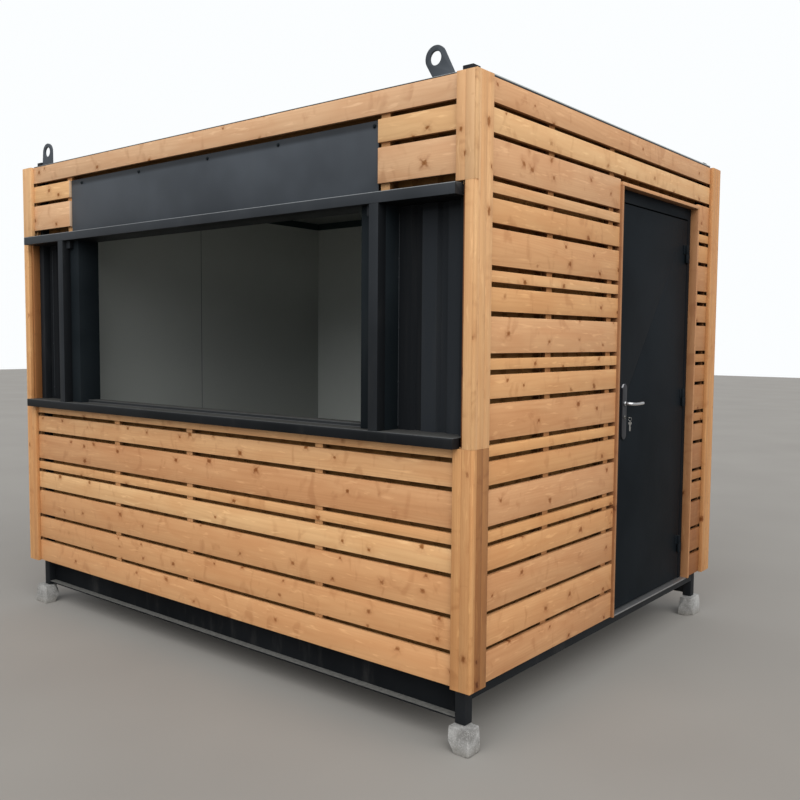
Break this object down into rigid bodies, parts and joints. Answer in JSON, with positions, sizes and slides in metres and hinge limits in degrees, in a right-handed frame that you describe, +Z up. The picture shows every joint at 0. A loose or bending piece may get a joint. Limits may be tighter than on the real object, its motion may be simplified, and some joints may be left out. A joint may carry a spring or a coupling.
{
  "type": "street kiosk",
  "caption": "Timber-clad street kiosk on a steel frame, with a wide serving hatch in front, a steel door in one end and lifting eyes on a flat roof.",
  "frame": {"origin": "centre of the bounding box, on the ground", "axes": "+X along the long front wall towards the door's end, +Y from the hatch to the back wall, +Z up"},
  "size_m": [3.338, 2.588, 2.803],
  "materials": {
    "wood_clad": "satin oiled pine",
    "wood_trim": "satin oiled pine",
    "batten_wood": "rough sawn",
    "dark_steel": "satin paint",
    "fascia_paint": "satin paint",
    "panel_sheet": "satin paint",
    "light_lining": "smooth sheet",
    "floor_board": "sealed plywood",
    "roof_paint": "satin paint",
    "stone_block": "rough",
    "door_paint": "satin paint",
    "bare_steel": "brushed",
    "lock_metal": "polished"
  },
  "bodies": {
    "kiosk": {"back_battens": "batten_wood", "back_boards": "wood_clad", "back_corner_boards": "wood_trim", "back_wall": "panel_sheet", "base_channels": "dark_steel", "ceiling_panel": "light_lining", "corner_posts": "dark_steel", "door_casing": "wood_trim", "door_frame": "door_paint", "door_threshold": "bare_steel", "floor_beams": "dark_steel", "floor_panel": "floor_board", "foot_blocks": "stone_block", "front_battens": "batten_wood", "front_corner_boards": "wood_trim", "front_lower_boards": "wood_clad", "front_upper_boards": "wood_clad", "front_wall": "panel_sheet", "hatch_fascia": "fascia_paint", "hatch_header": "dark_steel", "hatch_jambs": "dark_steel", "hatch_posts": "dark_steel", "hatch_reveal_boards": "wood_trim", "hatch_sill": "dark_steel", "hinge_frame_halves": "door_paint", "left_battens": "batten_wood", "left_boards": "wood_clad", "left_wall": "panel_sheet", "lifting_eyes": "dark_steel", "right_battens": "batten_wood", "right_front_boards": "wood_clad", "right_rear_boards": "wood_clad", "right_wall": "panel_sheet", "roof_beams": "dark_steel", "roof_sheet": "roof_paint", "roof_trim": "dark_steel", "side_corner_boards": "wood_trim"},
    "door": {"door_leaf": "door_paint", "hinge_leaf_halves": "door_paint", "handle_plates": "bare_steel", "lock_cylinder": "lock_metal"},
    "lever": {"door_lever": "bare_steel"}
  },
  "joints": [
    {"name": "door_swing", "type": "hinge", "parent": "kiosk", "child": "door", "pos_m": [1.6185, 0.919, 1.332], "axis": [0, 0, 1], "range_deg": [0, 90]},
    {"name": "lever_turn", "type": "hinge", "parent": "door", "child": "lever", "pos_m": [1.609, 0.161, 1.332], "axis": [-1, 0, 0], "range_deg": [0, 40], "stiffness_Nm_per_rad": 1.5}
  ]
}
